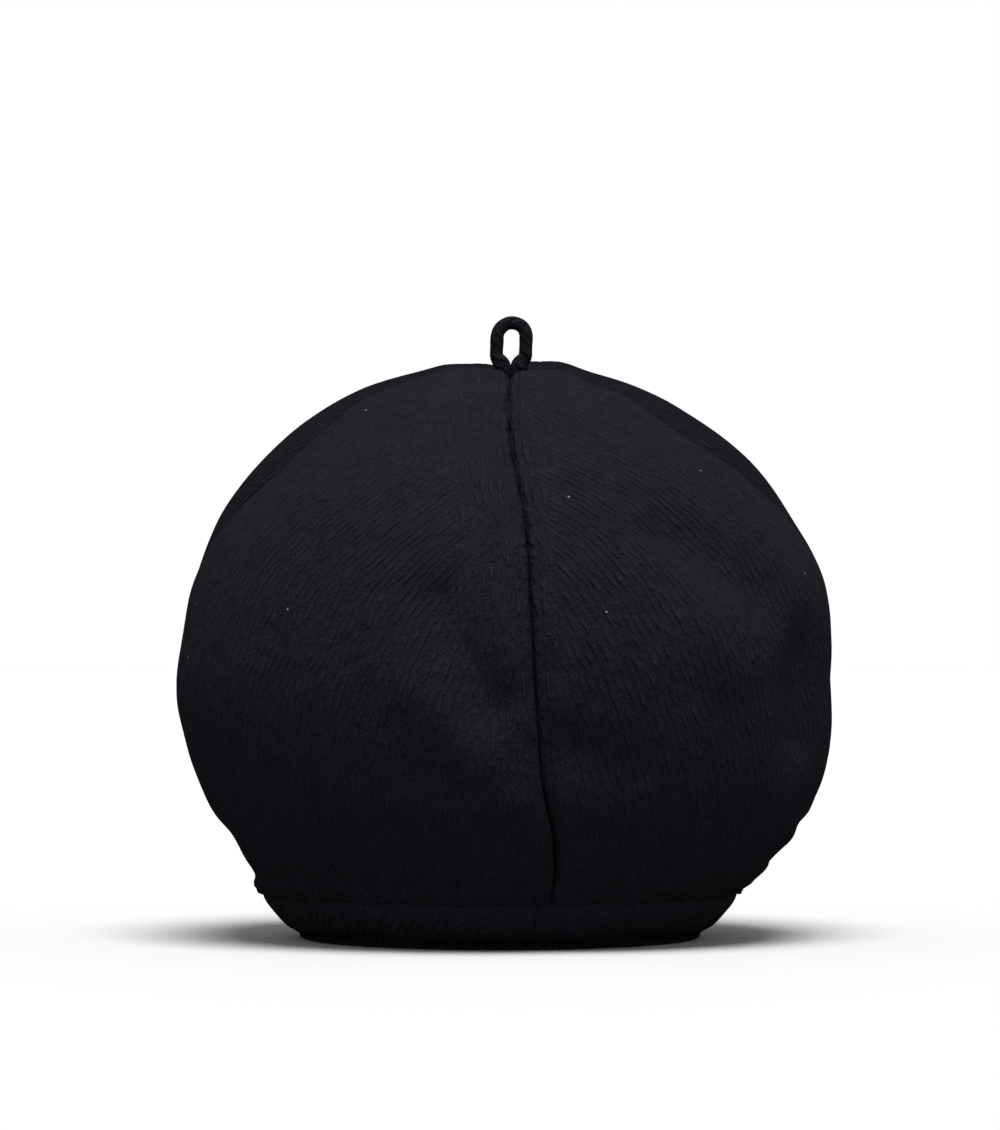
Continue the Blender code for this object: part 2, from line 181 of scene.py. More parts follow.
# Soft folds: where each starts and ends, its half width and its height as shares of the crown's width.
# Dents are negative.
Fold = namedtuple("Fold", "azimuth_a level_a azimuth_b level_b half_width height")
FOLDS = (
    Fold(-12.0, 0.45, -2.0, 0.31, 0.040, -0.016),
    Fold(-15.0, 0.33, 1.0, 0.17, 0.038, 0.008),
    Fold(-24.0, 0.93, -44.0, 0.92, 0.050, 0.011),
    Fold(24.0, 0.93, 44.0, 0.92, 0.050, 0.010),
    Fold(33.0, 0.54, 50.0, 0.45, 0.054, -0.020),
    Fold(60.0, 0.36, 60.0, 0.26, 0.058, -0.022),
    Fold(35.0, 0.41, 40.0, 0.35, 0.048, 0.009),
    Fold(11.0, 0.25, 20.0, 0.22, 0.042, -0.009),
    Fold(-96.0, 0.10, -68.0, 0.11, 0.030, -0.009),
    Fold(72.0, 0.12, 100.0, 0.12, 0.018, -0.008),
    Fold(76.0, 0.07, 98.0, 0.06, 0.014, -0.008),
    Fold(-150.0, 0.93, -120.0, 0.93, 0.045, 0.009),
    Fold(140.0, 0.93, 160.0, 0.92, 0.050, 0.013),
    Fold(150.0, 0.55, 168.0, 0.36, 0.045, -0.010),
    Fold(-160.0, 0.50, -145.0, 0.30, 0.050, -0.010),
    Fold(-118.0, 0.62, -110.0, 0.40, 0.045, -0.010),
)


def hex_colour(code):
    """The linear colour of an sRGB hex value."""
    shares = [int(code[i:i + 2], 16) / 255 for i in (1, 3, 5)]
    return tuple(s / 12.92 if s <= 0.04045 else ((s + 0.055) / 1.055) ** 2.4 for s in shares)


def length(name, description, default):
    """A size in metres that a user can change."""
    return FloatProperty(
        name=name, description=description, default=default, min=0.0, unit="LENGTH", precision=4
    )


def angle(name, description, degrees):
    """A turn that a user can change."""
    return FloatProperty(name=name, description=description, default=math.radians(degrees), subtype="ANGLE")


def share(name, description, default):
    """A plain share or strength that a user can change."""
    return FloatProperty(name=name, description=description, default=default, min=0.0)


def colour(name, description, code):
    """A colour that a user can change, given as an sRGB hex value."""
    return FloatVectorProperty(
        name=name,
        description=description,
        default=hex_colour(code),
        subtype="COLOR",
        size=3,
        min=0.0,
        max=1.0,
    )


class BandSizes(bpy.types.PropertyGroup):
    """The oval strip round the head."""

    width: length("Width", "Across the hem, outside", 0.1680)
    depth: length("Depth", "From back to front of the hem, outside", 0.1970)
    height: length("Height", "From the hem to the top edge", 0.0228)
    flare: length("Flare", "How far the top edge stands out past the hem", 0.0155)
    wall: length("Wall", "Thickness of the folded cloth", 0.0030)
    hem_drop: length("Hem drop", "How far the hem's inner corner hangs below its outer face", 0.0005)
    seam_azimuth: angle("Closing seam", "Where the two ends meet, from the back", 8.5)
    seam_gap: length("Seam gap", "Between the two ends", 0.00015)
    seam_dip: length("Seam dip", "How far the cloth dips at the closing seam", 0.0008)
    seam_dip_width: length("Seam dip width", "Distance from the seam over which it dips", 0.0015)
    top_dip: length("Top dip", "How far the cloth draws in under the crown's rolled edge", 0.0030)
    top_dip_height: length("Top dip height", "Height over which it draws in", 0.0022)
    slack: length("Slack", "Height of the cloth's unevenness", 0.0005)
    slack_size: length("Slack size", "Size of a bump of it", 0.0130)
    front_lift: length("Front lift", "How far the peak raises the front of the hem", 0.0090)
    lift_half_angle: angle("Lift spread", "How far from the front the hem is raised", 110.0)


class CrownSizes(bpy.types.PropertyGroup):
    """The full, puffed part of the cap."""

    width: length("Width", "At its widest, before folds", 0.2720)
    depth: length("Depth", "From back to front at its widest", 0.2800)
    widest_height: length("Widest height", "Height of the widest section", 0.1080)
    height: length("Height", "Height of the flat of the top", 0.2355)
    wall: length("Wall", "Thickness of the cloth", 0.0018)
    tilt: angle("Tilt", "How far the top leans towards the back", 6.5)
    lean: length("Lean", "How far the top stands over to the right", 0.0042)
    roll_size: length("Roll", "Size of the rolled lower edge", 0.0030)
    puff: length("Puff", "How far each panel bulges between its seams", 0.0050)
    seam_groove: length("Seam groove", "How far the cloth dips towards a seam", 0.0026)
    seam_softness: length("Seam softness", "Width over which it dips", 0.0050)
    tuck_back: length("Tuck, back", "Width over which a back panel rolls down to its side seam", 0.0045)
    tuck_front: length("Tuck, front", "Width over which a front panel rises again", 0.0180)
    seam_pinch: length("Seam pinch", "Depth of the turned edge at the stitches", 0.0019)
    pinch_width: length("Pinch width", "Width of the turned edge", 0.0013)
    pucker: length("Pucker", "Height of the ripples beside the seams", 0.0010)
    pucker_size: length("Pucker size", "Size of one of them", 0.0110)
    pucker_reach: length("Pucker reach", "Distance from a seam over which they fade", 0.0100)
    gather: length("Gather", "Height of the ripples above the band", 0.0012)
    gather_size: length("Gather size", "Size of one of them", 0.0110)
    gather_reach: length("Gather reach", "Distance from the band over which they fade", 0.0140)
    slack: length("Slack", "Height of the cloth's broad unevenness", 0.0011)
    slack_size: length("Slack size", "Size of a broad bump", 0.0500)
    fine_slack: share("Fine slack", "Height of the small bumps, as a share of the broad ones", 0.35)
    fine_slack_size: length("Fine slack size", "Size of a small bump", 0.0190)
    hem_ridge: length("Hem ridge", "Height of the low ridge along the lower edge", 0.0009)
    hem_ridge_rise: length("Hem ridge rise", "How far above the roll its crest lies", 0.0025)
    hem_ridge_width: length("Hem ridge width", "Distance from its crest over which it fades", 0.0020)
    hem_draw: length("Hem draw", "How far the cloth draws in towards the band", 0.0013)
    hem_draw_reach: length("Hem draw reach", "Distance over which it draws in", 0.0120)
    neck_dip: length("Neck dip", "How far the neck sinks below the top", 0.0030)
    gap: length("Seam gap", "Between the two edges at a seam", 0.0001)


class LoopSizes(bpy.types.PropertyGroup):
    """The sewn cord that stands out of the top."""

    height: length("Height", "Above the neck", 0.0280)
    width: length("Width", "Across the loop, outside", 0.0178)
    cord: length("Cord", "Width of the cord", 0.0058)
    flatness: share("Flatness", "Cord's depth as a share of its width", 0.82)
    closed: length("Closed", "Height over which the two legs touch", 0.0066)
    foot: length("Foot", "Thickness of a leg where it is sewn in", 0.0076)
    foot_press: length("Foot press", "How far each foot presses into the other", 0.00035)
    spread: share("Spread", "How soon above the feet the legs stand apart", 2.4)
    seam_depth: length("Seam depth", "Depth of the cord's own seam", 0.00035)
    unevenness: share("Unevenness", "Of the cord's thickness, as a share of it", 0.05)
    lean: length("Lean", "How far the top of the loop stands over", 0.0010)
    root: length("Root", "Length inside the neck", 0.0040)
    ease: length("Ease", "Room between the legs and the neck", 0.0006)


class PeakSizes(bpy.types.PropertyGroup):
    """The short stiff peak on the front."""

    reach: length("Reach", "From the band to the outer edge at the front", 0.0480)
    end: length("End", "Reach at its two ends", 0.0040)
    thickness: length("Thickness", "Cloth and board together", 0.0030)
    arch: length("Arch", "How far the middle of the outer edge is raised", 0.0045)
    half_angle: angle("Half angle", "Turn of the band that it spans each way", 58.0)
    sweep: share("Sweep", "How far its sides follow the band's turn, as a share", 0.45)
    edge_rise: length("Edge rise", "Raises the outer edge by what smoothing takes off below it", 0.0005)


class WoolLook(bpy.types.PropertyGroup):
    """The cloth that every piece is made of."""

    # The rib colour is paler than the furrow colour: partly the yarn's own tone, partly a painted highlight
    # on the rib tops and painted shade in the furrows
    rib: colour("Rib", "The raised threads of the twill", "#19181D")
    furrow: colour("Furrow", "The lines between the ribs", "#100F13")
    lint: colour("Lint", "Pale fibres caught on the nap", "#55545A")
    rib_pitch: length("Rib pitch", "From one rib to the next", 0.0034)
    rib_relief: length("Rib relief", "Height of a rib", 0.00125)
    dash_width: length("Dash width", "Width of a worn dash on a rib", 0.0020)
    dash_length: length("Dash length", "Length of a worn dash", 0.0070)
    yarn_size: length("Yarn size", "Of 0.4 mm yarn, drawn coarser so that it shows", 0.0011)
    yarn_relief: length("Yarn relief", "Height of the yarn's unevenness", 0.0007)
    nap_size: length("Nap size", "Of a patch of nap that is brushed up or pressed flat", 0.0080)
    nap_relief: length("Nap relief", "Height from the pressed nap to the brushed", 0.0012)
    lint_spacing: length("Lint spacing", "Between the places where a fleck can be caught", 0.0140)
    lint_share: share("Lint share", "Share of those places that have a fleck", 0.22)
    lint_size: share("Lint size", "Radius of a fleck as a share of the spacing", 0.035)


class StageSizes(bpy.types.PropertyGroup):
    """The floor, the lights and the camera."""

    view_distance: length("View distance", "From the camera to the middle of the cap", 2.40)
    frame_height: length("Frame height", "What the picture takes in from top to bottom", 0.4746)
    eye_height: length("Eye height", "Height of the camera", 0.135)
    look_height: length("Look height", "Height that the camera looks at", 0.156)
    floor: colour("Floor", "The table under the cap, which the key brightens", "#888887")
    floor_size: length("Floor size", "Half the side of the table", 12.0)
    sky: share("Sky", "Strength of the even light", 1.0)
    key: share("Key", "Strength of the softbox above the back", 10.0)
    key_spread: angle("Key spread", "Angle that the softbox spans", 35.0)
    key_heading: FloatVectorProperty(
        name="Key heading",
        description="Where the softbox's light goes",
        default=(-0.05, 0.26, -0.96),
        subtype="DIRECTION",
    )


def column(table, name):
    """One named column of a table."""
    return np.array([getattr(row, name) for row in table], float)


def smooth_through(knots, values, at):
    """The values at some levels, on a smooth curve through the knots."""
    slopes = np.gradient(values, knots)
    index = np.clip(np.searchsorted(knots, at) - 1, 0, len(knots) - 2)
    step = knots[index + 1] - knots[index]
    s = (at - knots[index]) / step
    start = (1 + 2 * s) * (1 - s) ** 2 * values[index] + s * (1 - s) ** 2 * step * slopes[index]
    end = s * s * (3 - 2 * s) * values[index + 1] + s * s * (s - 1) * step * slopes[index + 1]
    return start + end


def eased(part):
    """A part from 0 to 1, made to start and end gently."""
    return part * part * (3 - 2 * part)


def ripple(points, size, seed):
    """Smooth noise from -1 to 1 at each point, with bumps of about this size."""
    return np.array([noise.noise(Vector(point) / size + Vector((seed, 0.0, 0.0))) for point in points])


def around(azimuth, left, right, back, front):
    """Offsets in plan on an oval with a half axis of its own on each side."""
    turn = np.radians(azimuth)
    half_width = np.where(np.sin(turn) < 0, left, right)
    half_depth = np.where(np.cos(turn) < 0, front, back)
    return half_width * np.sin(turn), -half_depth * np.cos(turn)


def band_lift(band, azimuth):
    """How far the peak raises the band at this azimuth, nothing round the back of the cap."""
    from_front = np.abs((azimuth % 360.0) - 180.0)
    out = np.clip(from_front / math.degrees(band.lift_half_angle), 0.0, 1.0)
    return band.front_lift * 0.5 * (1.0 + np.cos(math.pi * out))


def band_flare(band, height):
    """How far out the band's outer face stands at a height above its hem."""
    knots = column(BAND_TABLE, "height")
    return band.flare * smooth_through(knots, column(BAND_TABLE, "outward"), height / band.height)


class CrownForm:
    """The crown's outer face, worked out from the sizes and from the tables of sections, seams and folds."""

    def __init__(self, band, crown, loop):
        self.band, self.crown = band, crown
        self.seam_height = band.height - crown.wall - CLEARANCE
        seam_out = float(band_flare(band, np.array(self.seam_height))) + CLEARANCE
        roll_out = seam_out + ROLL_TABLE[-1].outward * crown.roll_size
        base = dict(zip(SIDES, (band.width / 2, band.width / 2, band.depth / 2, band.depth / 2)))
        full = dict(zip(SIDES, (crown.width / 2, crown.width / 2, crown.depth / 2, crown.depth / 2)))
        neck_wide, neck_deep = loop.cord + loop.ease, loop.cord / 2 + loop.ease
        neck = dict(zip(SIDES, (neck_wide, neck_wide, neck_deep, neck_deep)))
        self.columns = {}
        for side in SIDES:
            roll = base[side] + seam_out + crown.roll_size * column(ROLL_TABLE, "outward")
            belly = base[side] + roll_out + (full[side] - base[side] - roll_out) * column(BELLY_TABLE, side)
            dome = neck[side] + (full[side] - neck[side]) * column(DOME_TABLE, side)
            self.columns[side] = np.concatenate([roll, belly, dome, [neck[side]]])
        rise = column(BELLY_TABLE, "rise")
        belly_start = self.seam_height + ROLL_TABLE[-1].up * crown.roll_size
        self.columns["height"] = np.concatenate([
            self.seam_height + crown.roll_size * column(ROLL_TABLE, "up"),
            belly_start + rise * (crown.widest_height - belly_start),
            crown.widest_height + column(DOME_TABLE, "rise") * (crown.height - crown.widest_height),
            [crown.height - crown.neck_dip],
        ])
        still = np.zeros(len(DOME_TABLE) + 1)
        self.columns["lift"] = np.concatenate([np.ones(len(ROLL_TABLE)), 1.0 - rise, still])
        roll_puff = np.linspace(0.0, BELLY_TABLE[0].puff, len(ROLL_TABLE) + 1)[:-1]
        self.columns["puff"] = np.concatenate(
            [roll_puff, column(BELLY_TABLE, "puff"), column(DOME_TABLE, "puff"), [0.0]]
        )
        roll_drift = np.full(len(ROLL_TABLE), BELLY_TABLE[0].drift)
        self.columns["drift"] = np.concatenate(
            [roll_drift, column(BELLY_TABLE, "drift"), column(DOME_TABLE, "drift"), [0.0]]
        )
        self.columns["reach"] = sum(self.columns[side] for side in SIDES) / len(SIDES)
        steps = np.hypot(np.diff(self.columns["reach"]), np.diff(self.columns["height"]))
        self.meridian = steps.sum()
        self.levels = np.concatenate([[0.0], np.cumsum(steps)]) / self.meridian
        self.roll_level = self.levels[len(ROLL_TABLE) - 1]

    def value(self, name, level):
        """A column's value at a level."""
        return smooth_through(self.levels, self.columns[name], level)

    def seam_azimuth(self, seam, level):
        """Where a seam runs at a level."""
        azimuth = seam.azimuth + seam.swing * self.value("drift", level)
        if seam.side:
            azimuth += smooth_through(column(SIDE_TABLE, "level"), column(SIDE_TABLE, seam.side), level)
        return azimuth

    def tuck_depth(self, azimuth, level):
        """How far the cloth is tucked in beside the side seams, steeply on the back panels."""
        crown = self.crown
        total = np.zeros(np.shape(azimuth))
        knots = column(SIDE_TABLE, "level")
        for seam in (SEAMS["right"], SEAMS["left"]):
            depth = smooth_through(knots, column(SIDE_TABLE, seam.side + "_tuck"), level)
            turn = (azimuth - self.seam_azimuth(seam, level) + 180.0) % 360.0 - 180.0
            distance = np.radians(turn) * self.value("reach", level)
            in_front = (turn > 0) == (seam.azimuth < 180.0)
            width = np.where(in_front, crown.tuck_front, crown.tuck_back)
            total += depth * crown.width * np.exp(-((distance / width) ** 2))
        return total

    def fold_height(self, azimuth, level):
        """How far the soft folds raise the cloth, or sink it where that is negative."""
        total = np.zeros(np.shape(azimuth))
        reach = self.value("reach", level)
        width = self.crown.width
        for fold in FOLDS:
            middle = float(self.value("reach", (fold.level_a + fold.level_b) / 2))
            run = Vector((
                math.radians(fold.azimuth_b - fold.azimuth_a) * middle,
                (fold.level_b - fold.level_a) * self.meridian,
            ))
            sideways = np.radians((azimuth - fold.azimuth_a + 180.0) % 360.0 - 180.0) * reach
            upward = (level - fold.level_a) * self.meridian
            along = np.clip((sideways * run.x + upward * run.y) / run.length_squared, 0.0, 1.0)
            distance = np.hypot(sideways - along * run.x, upward - along * run.y)
            total += fold.height * width * np.exp(-((distance / (fold.half_width * width)) ** 2))
        return total

    def fine_height(self, points, azimuth, level, to_seam):
        """The small ripples: puckers at the seams, gathers above the band, and the slack of the cloth."""
        crown = self.crown
        # Puckers run across the seam and slope a little, and differ from side to side
        slope, side_step, turn_step = 0.4, 0.05, 0.002
        side = np.sign(azimuth % 360.0 - 180.0)
        across_seam = level * self.meridian + slope * to_seam
        beside = np.stack([across_seam, side * side_step, azimuth * turn_step], axis=-1)
        puckers = crown.pucker * ripple(beside, crown.pucker_size, PUCKER_SEED)
        puckers *= np.exp(-to_seam / crown.pucker_reach)
        above = np.maximum(level - self.roll_level, 0.0) * self.meridian
        # Gathers are four times as long as they are wide
        upright = points * (1.0, 1.0, 0.25)
        gathers = crown.gather * ripple(upright, crown.gather_size, GATHER_SEED)
        gathers *= np.exp(-above / crown.gather_reach)
        broad = ripple(points, crown.slack_size, SLACK_SEED)
        fine = crown.fine_slack * ripple(points, crown.fine_slack_size, FINE_SLACK_SEED)
        slack = crown.slack * (broad + fine)
        # The cloth draws in towards the band, and stands out again in a low ridge along the edge
        ridge = crown.hem_ridge * np.exp(-(((above - crown.hem_ridge_rise) / crown.hem_ridge_width) ** 2))
        return puckers + gathers + slack + ridge - crown.hem_draw * np.exp(-above / crown.hem_draw_reach)

    def surface(self, azimuth, level, across, panel_width):
        """Points on the outer face of a panel. Across is 0 and 1 at its seams, panel_width apart."""
        crown = self.crown
        x, y = around(azimuth, *(self.value(side, level) for side in SIDES))
        rise = np.clip((level - self.roll_level) / (1.0 - self.roll_level), 0.0, 1.0)
        z = self.value("height", level) + self.value("lift", level) * band_lift(self.band, azimuth)
        z = z + y * math.tan(crown.tilt) * eased(rise)
        points = np.stack([x + CENTRE_X + crown.lean * rise, y + CENTRE_Y, z], axis=-1)
        to_seam = np.minimum(across, 1 - across) * panel_width
        free = np.clip(rise / SET_IN, 0.0, 1.0)
        shallow = np.clip(self.value("reach", level) / (crown.widest_height * NECK_FADE), 0.0, 1.0)
        bulge = crown.puff * self.value("puff", level) * (1.0 - np.abs(2 * across - 1) ** BULGE_POWER)
        bulge -= crown.seam_groove * shallow * free * np.exp(-to_seam / crown.seam_softness)
        # The turned edges and the ripples go on nearer to the neck than the grooves do
        pinch = np.clip(shallow * 2, LEAST_PINCH, 1.0)
        bulge -= crown.seam_pinch * pinch * np.exp(-((to_seam / crown.pinch_width) ** 2))
        bulge -= self.tuck_depth(azimuth, level) * shallow * free
        bulge += self.fold_height(azimuth, level) * free
        bulge += self.fine_height(points, azimuth, level, to_seam) * np.clip(shallow * 1.5, 0.0, 1.0)
        outward = points - np.array([CENTRE_X, CENTRE_Y, crown.widest_height])
        outward /= np.linalg.norm(outward, axis=-1, keepdims=True)
        return points + outward * bulge[:, None]


def add_node(tree, kind, settings=None, inputs=None):
    """One node with its settings, each input given a value or a link from another node's output."""
    node = tree.nodes.new(kind)
    for name, value in (settings or {}).items():
        setattr(node, name, value)
    for socket, value in (inputs or {}).items():
        if isinstance(value, bpy.types.NodeSocket):
            tree.links.new(value, node.inputs[socket])
        else:
            node.inputs[socket].default_value = value
    return node


def twill_ribs(tree, look, grain):
    """How high the cloth stands from 0 to 1: ribs along the grain's second axis, worn into dashes."""
    # A wave texture repeats every pi / 10 units at scale 1
    ribs = add_node(
        tree,
        "ShaderNodeTexWave",
        {"wave_type": "BANDS", "bands_direction": "X", "wave_profile": "SIN"},
        {
            "Vector": grain,
            "Scale": math.pi / 10 / look.rib_pitch,
            "Distortion": 2.4,
            "Detail": 2.0,
            "Detail Scale": 0.7,
        },
    ).outputs["Fac"]
    stretched = add_node(
        tree,
        "ShaderNodeMapping",
        None,
        {"Vector": grain, "Scale": (1 / look.dash_width, 1 / look.dash_length, 1.0)},
    )
    worn = add_node(
        tree, "ShaderNodeTexNoise", None, {"Vector": stretched.outputs["Vector"], "Scale": 1.0, "Detail": 2.0}
    ).outputs["Fac"]
    kept = add_node(
        tree, "ShaderNodeMapRange", None, {"Value": worn, "From Min": 0.42, "From Max": 0.60, "To Min": 0.0}
    ).outputs["Result"]
    return add_node(tree, "ShaderNodeMath", {"operation": "MULTIPLY"}, {0: ribs, 1: kept}).outputs["Value"]


def black_wool_twill(look, name, rib_turn, depth=1.0, seam_grain=0.0):
    """Worsted wool, dyed black and woven as a bold twill.

    Its diagonal ribs are painted paler than the furrows between them, in short worn dashes: partly the
    yarn's own tone, partly a painted highlight on the rib tops and painted shade in the furrows. Its short
    nap gives a faint pale edge where the cloth turns away, and a little pale lint sits on it. Depth scales
    its colour, as painted shade below 1 and painted light above 1. Beside a centre seam the cloth was
    stretched as it was sewn, and over a strip that is seam_grain wide the ribs turn along the seam.
    """
    material = bpy.data.materials.new(name)
    material.use_nodes = True
    tree = material.node_tree
    tree.nodes.clear()
    weave = add_node(tree, "ShaderNodeUVMap", {"uv_map": "weave"}).outputs["UV"]
    turned = add_node(tree, "ShaderNodeMapping", None, {"Vector": weave, "Rotation": (0, 0, rib_turn)})
    ribs = twill_ribs(tree, look, turned.outputs["Vector"])
    if seam_grain:
        beside = add_node(tree, "ShaderNodeUVMap", {"uv_map": "beside_seam"}).outputs["UV"]
        distance = add_node(tree, "ShaderNodeSeparateXYZ", None, {"Vector": beside}).outputs["X"]
        away = add_node(
            tree,
            "ShaderNodeMapRange",
            {"interpolation_type": "SMOOTHSTEP"},
            {"Value": distance, "From Min": seam_grain * 0.4, "From Max": seam_grain * 1.6},
        ).outputs["Result"]
        beside_ribs = twill_ribs(tree, look, beside)
        ribs = add_node(
            tree, "ShaderNodeMix", {"data_type": "FLOAT"}, {0: away, 2: beside_ribs, 3: ribs}
        ).outputs[0]
    place = add_node(tree, "ShaderNodeTexCoord").outputs["Object"]
    yarn = add_node(
        tree,
        "ShaderNodeTexNoise",
        None,
        {"Vector": place, "Scale": 1 / look.yarn_size, "Detail": 3.0, "Roughness": 0.65},
    ).outputs["Fac"]
    nap = add_node(
        tree,
        "ShaderNodeTexNoise",
        None,
        {"Vector": place, "Scale": 1 / look.nap_size, "Detail": 4.0, "Roughness": 0.6},
    ).outputs["Fac"]
    # Rib tops take the paler rib colour, a painted highlight, and furrows the darker furrow colour, painted
    # shade; depth scales both, as painted shade below 1 and painted light above 1
    painted_rib_highlight_share = add_node(
        tree, "ShaderNodeMath", {"operation": "MULTIPLY"}, {0: ribs, 1: yarn}
    ).outputs["Value"]
    cloth = add_node(
        tree,
        "ShaderNodeMix",
        {"data_type": "RGBA"},
        {
            0: painted_rib_highlight_share,
            6: (*(depth * light for light in look.furrow), 1.0),
            7: (*(depth * light for light in look.rib), 1.0),
        },
    ).outputs[2]
    # Brushed nap looks paler and pressed nap darker
    brushed = add_node(
        tree,
        "ShaderNodeMapRange",
        None,
        {"Value": nap, "From Min": 0.3, "From Max": 0.7, "To Min": 0.88, "To Max": 1.15},
    ).outputs["Result"]
    cloth = add_node(
        tree, "ShaderNodeVectorMath", {"operation": "SCALE"}, {"Vector": cloth, "Scale": brushed}
    ).outputs["Vector"]
    # Some cells of a loose pattern have a fleck of lint at their middle
    cells = add_node(tree, "ShaderNodeTexVoronoi", None, {"Vector": place, "Scale": 1 / look.lint_spacing})
    near = add_node(
        tree, "ShaderNodeMath", {"operation": "LESS_THAN"}, {0: cells.outputs["Distance"], 1: look.lint_size}
    ).outputs["Value"]
    draw = add_node(
        tree, "ShaderNodeSeparateColor", None, {"Color": cells.outputs["Color"]}
    ).outputs["Red"]
    chosen = add_node(
        tree, "ShaderNodeMath", {"operation": "GREATER_THAN"}, {0: draw, 1: 1 - look.lint_share}
    ).outputs["Value"]
    fleck = add_node(tree, "ShaderNodeMath", {"operation": "MULTIPLY"}, {0: near, 1: chosen}).outputs["Value"]
    cloth = add_node(
        tree, "ShaderNodeMix", {"data_type": "RGBA"}, {0: fleck, 6: cloth, 7: (*look.lint, 1.0)}
    ).outputs[2]
    roughness = add_node(
        tree, "ShaderNodeMapRange", None, {"Value": yarn, "To Min": 0.80, "To Max": 0.98}
    ).outputs["Result"]
    relief = add_node(
        tree, "ShaderNodeBump", None, {"Strength": 1.0, "Distance": look.rib_relief, "Height": ribs}
    ).outputs["Normal"]
    relief = add_node(
        tree,
        "ShaderNodeBump",
        None,
        {"Strength": 1.0, "Distance": look.yarn_relief, "Height": yarn, "Normal": relief},
    ).outputs["Normal"]
    relief = add_node(
        tree,
        "ShaderNodeBump",
        None,
        {"Strength": 1.0, "Distance": look.nap_relief, "Height": nap, "Normal": relief},
    ).outputs["Normal"]
    shader = add_node(
        tree,
        "ShaderNodeBsdfPrincipled",
        None,
        {
            "Base Color": cloth,
            "Roughness": roughness,
            "Normal": relief,
            "Metallic": 0.0,
            "Specular IOR Level": 0.0,
            "Sheen Weight": 0.004,
            "Sheen Roughness": 0.5,
            "Sheen Tint": (0.8, 0.8, 0.9, 1.0),
        },
    )
    add_node(tree, "ShaderNodeOutputMaterial", None, {"Surface": shader.outputs["BSDF"]})
    return material


def pale_board(look):
    """Matt painted board. It shows as an even pale ground with a soft shadow."""
    material = bpy.data.materials.new("pale_matt_board")
    material.use_nodes = True
    tree = material.node_tree
    tree.nodes.clear()
    shader = add_node(
        tree,
        "ShaderNodeBsdfPrincipled",
        None,
        {"Base Color": (*look.floor, 1.0), "Roughness": 0.95, "Specular IOR Level": 0.1},
    )
    add_node(tree, "ShaderNodeOutputMaterial", None, {"Surface": shader.outputs["BSDF"]})
    return material


def formed_grid(name, columns, rows, surface):
    """A grid of cloth laid on a surface, a function of the shares across and up.

    The surface gives places, and UV layers by name.
    """
    mesh = bpy.data.meshes.new(name)
    grid = bmesh.new()
    bmesh.ops.create_grid(grid, x_segments=columns, y_segments=rows, size=0.5)
    across = np.array([vertex.co.x for vertex in grid.verts]) + 0.5
    up = np.array([vertex.co.y for vertex in grid.verts]) + 0.5
    places, flat = surface(across, up)
    for vertex, place in zip(grid.verts, places):
        vertex.co = place
    for layer_name, spots in flat.items():
        layer = grid.loops.layers.uv.new(layer_name)
        for face in grid.faces:
            for corner in face.loops:
                corner[layer].uv = spots[corner.vert.index]
    grid.to_mesh(mesh)
    grid.free()
    mesh.shade_smooth()
    return mesh


def add_piece(name, mesh, material, node):
    """Puts a piece in the scene in place of a CAD node, on the cap's one body."""
    piece = bpy.data.objects.new(name, mesh)
    mesh.materials.append(material)
    bpy.context.scene.collection.objects.link(piece)
    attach(piece, "root")
    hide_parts(node)
    return piece


def give_wall(piece, thickness):
    """Gives a sheet of cloth its thickness, inwards."""
    wall = piece.modifiers.new("wall", "SOLIDIFY")
    wall.thickness = thickness
    wall.offset = -1.0
    wall.use_even_offset = True
    wall.use_quality_normals = True


def round_edges(piece, width):
    """Rounds the cut edges of a piece as folded cloth is."""
    edges = piece.modifiers.new("turned_edges", "BEVEL")
    edges.width = width
    edges.segments = 3
    edges.limit_method = "ANGLE"
    edges.angle_limit = math.radians(50)


class CAP_OT_crown(bpy.types.Operator):
    """Sew the crown's four panels"""

    bl_idname = "cap.crown"
    bl_label = "Crown panels"
    columns: IntProperty(name="Columns", description="Divisions across a panel", default=140, min=20)
    rows: IntProperty(name="Rows", description="Divisions up a panel", default=190, min=20)
    roll_rows: IntProperty(name="Roll rows", description="Divisions of the rolled edge", default=14, min=4)

    def execute(self, context):
        scene = context.scene
        form = CrownForm(scene.cap_band, scene.cap_crown, scene.cap_loop)
        for panel in PANELS:
            name = "black_wool_twill_" + panel.node
            cloth = black_wool_twill(scene.cap_wool, name, 0.0, panel.depth, panel.seam_grain)
            self.sew(form, panel, cloth, scene.cap_crown)
        return {"FINISHED"}

    def sew(self, form, panel, cloth, crown):
        """Lays one panel between its seams."""
        roll_share = self.roll_rows / (self.roll_rows + self.rows)

        def surface(across, up):
            level = np.where(
                up < roll_share,
                up / roll_share * form.roll_level,
                form.roll_level + (up - roll_share) / (1 - roll_share) * (1 - form.roll_level),
            )
            start = form.seam_azimuth(SEAMS[panel.first], level)
            end = form.seam_azimuth(SEAMS[panel.second], level) + panel.turn
            width = np.radians(end - start) * form.value("reach", level)
            # The columns stand closer together near the seams
            swept = 0.5 - 0.5 * np.cos(math.pi * across)
            crowded = (1 - PANEL_CROWDING) * across + PANEL_CROWDING * swept
            inset = crown.gap / 2 / width
            between = inset + (1 - 2 * inset) * crowded
            places = form.surface(start + (end - start) * between, level, between, width)
            lean = math.radians(panel.rib_lean)
            sideways, upward = (between - 0.5) * width, level * form.meridian
            weave = np.stack([
                sideways * math.cos(lean) - upward * math.sin(lean),
                sideways * math.sin(lean) + upward * math.cos(lean),
            ], axis=-1)
            to_centre = (between if SEAMS[panel.second].side else 1 - between) * width
            return places, {"weave": weave, "beside_seam": np.stack([to_centre, upward], axis=-1)}

        mesh = formed_grid(panel.node + "_cloth", self.columns, self.roll_rows + self.rows, surface)
        give_wall(add_piece(panel.node + "_cloth", mesh, cloth, panel.node), crown.wall)


